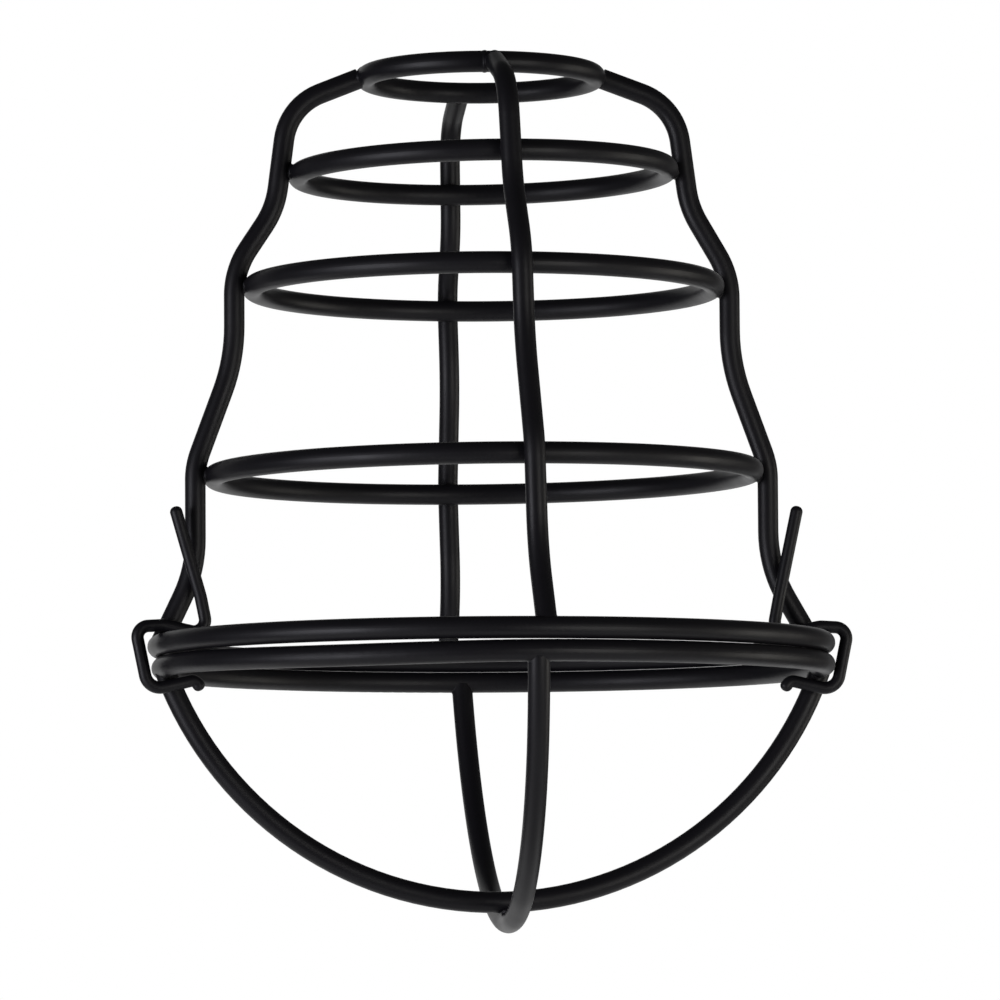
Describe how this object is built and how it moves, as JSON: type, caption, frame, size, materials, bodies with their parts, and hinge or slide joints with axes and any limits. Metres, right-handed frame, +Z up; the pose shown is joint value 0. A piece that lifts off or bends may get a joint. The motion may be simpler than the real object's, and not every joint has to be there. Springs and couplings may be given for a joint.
{
  "type": "bulb cage guard",
  "caption": "Bell-shaped welded wire cage for a lamp bulb, with a neck ring for a lampholder and a round-bottomed lower basket held on by two wire latches.",
  "frame": {"origin": "centre of the neck ring, where the guard hangs on the lampholder", "axes": "+Z up along the cage's axis towards the lampholder, X from latch to latch, -Y towards the front rib"},
  "size_m": [0.146, 0.138, 0.1749],
  "materials": {
    "coated_wire": "satin black powder coat",
    "latch_wire": "satin black powder coat"
  },
  "bodies": {
    "cage": {"neck_ring": "coated_wire", "shoulder_ring": "coated_wire", "middle_ring": "coated_wire", "lower_ring": "coated_wire", "upper_rim": "coated_wire", "rib_right": "coated_wire", "rib_back": "coated_wire", "rib_left": "coated_wire", "rib_front": "coated_wire", "basket_rim": "coated_wire", "side_hoop": "coated_wire", "cross_hoop": "coated_wire"},
    "latch_left": {"latch_left": "latch_wire"},
    "latch_right": {"latch_right": "latch_wire"}
  },
  "joints": [
    {"name": "latch_left_swing", "type": "hinge", "parent": "cage", "child": "latch_left", "pos_m": [-0.06526, -0.00439, -0.115], "axis": [-0.0656, 0.9978, 0], "range_deg": [0, 65]},
    {"name": "latch_right_swing", "type": "hinge", "parent": "cage", "child": "latch_right", "pos_m": [0.06826, -0.00439, -0.115], "axis": [-0.0656, -0.9978, 0], "range_deg": [0, 65]}
  ]
}
